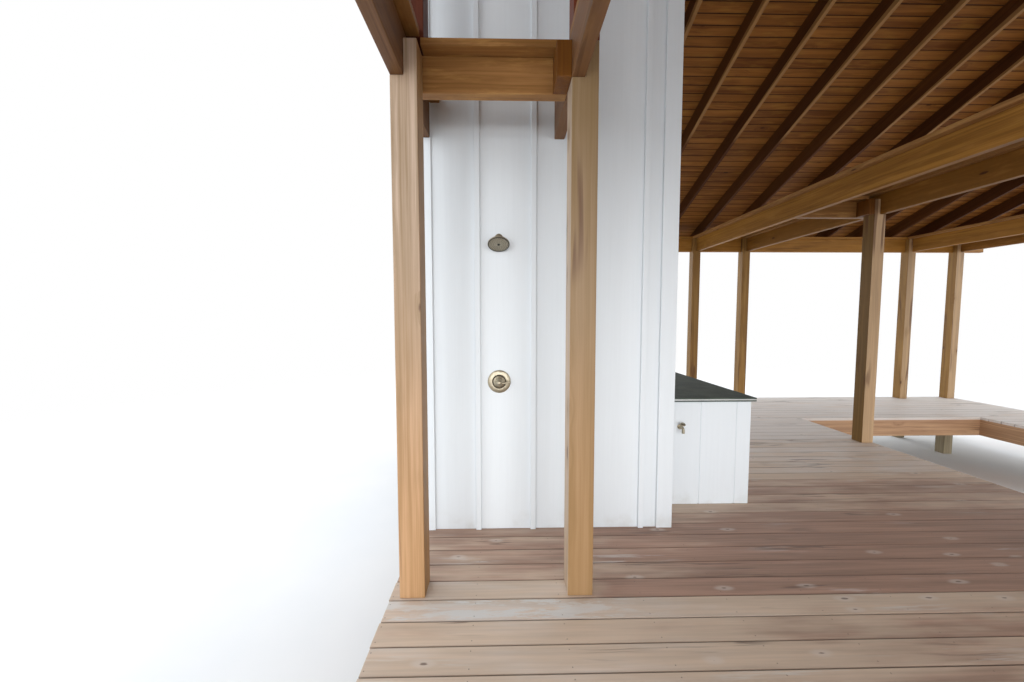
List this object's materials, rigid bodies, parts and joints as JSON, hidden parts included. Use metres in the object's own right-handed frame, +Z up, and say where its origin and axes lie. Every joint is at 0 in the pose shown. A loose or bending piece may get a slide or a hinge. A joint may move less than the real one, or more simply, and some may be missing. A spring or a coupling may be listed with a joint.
{
  "type": "boathouse",
  "caption": "Timber boathouse on piles: plank deck round a boat slip, notched twin posts, gable roof, white storage closet with outdoor shower and a lidded dock box.",
  "frame": {"origin": "middle of the plan at the feet of the piles", "axes": "+X along the ridge away from the shower closet, +Y from the open lake side to the shore side, +Z up"},
  "size_m": [10.456, 10.776, 6.0028],
  "materials": {
    "timber": "oil-stained sawn softwood, semi-matt",
    "deck_wood": "weathered stained planks",
    "dark_wood": "stained rafters and roof boards in shade",
    "pile_wood": "wet weathered piles and joists",
    "white_wood": "painted boards with faint grain",
    "roof_metal": "painted sheet",
    "nickel": "brushed nickel",
    "lid_plastic": "textured moulded lid",
    "dark_metal": "dull dark metal"
  },
  "bodies": {
    "boathouse": {"piles": "pile_wood", "deck_girders": "pile_wood", "deck_joists": "pile_wood", "deck_fascia": "deck_wood", "main_deck": "deck_wood", "back_walkway": "deck_wood", "side_walkway": "deck_wood", "left_posts": "timber", "center_posts": "timber", "right_posts": "timber", "left_beams": "timber", "center_beams": "timber", "right_beams": "timber", "beam_caps": "timber", "cross_beams": "timber", "cross_caps": "timber", "beam_blocks": "timber", "eave_caps": "timber", "back_eave_beam": "timber", "front_eave_beam": "timber", "king_posts": "dark_wood", "ridge_beam": "dark_wood", "back_rafters": "dark_wood", "front_rafters": "dark_wood", "back_roof_boards": "dark_wood", "front_roof_boards": "dark_wood", "back_roofing": "roof_metal", "front_roofing": "roof_metal", "ridge_cap": "roof_metal", "eave_boards": "dark_wood", "barge_boards": "dark_wood", "closet_front_wall": "white_wood", "closet_back_wall": "white_wood", "closet_left_wall": "white_wood", "closet_right_wall": "white_wood", "closet_battens": "white_wood", "corner_boards": "white_wood", "door_casing": "white_wood", "closet_door": "white_wood", "shower_head": "nickel", "shower_valve": "nickel", "dock_box": "white_wood", "lid_pin": "nickel", "hose_bibb": "dark_metal"},
    "lid": {"box_lid": "lid_plastic"},
    "lever": {"shower_lever": "nickel"}
  },
  "joints": [
    {"name": "lid_hinge", "type": "hinge", "parent": "boathouse", "child": "lid", "pos_m": [-2.762, 1.853, 1.634], "axis": [0, -1, 0], "range_deg": [0, 85]},
    {"name": "shower_lever_turn", "type": "hinge", "parent": "boathouse", "child": "lever", "pos_m": [-4.062, 0.551, 1.85], "axis": [0, -1, 0], "range_deg": [-90, 90]}
  ]
}
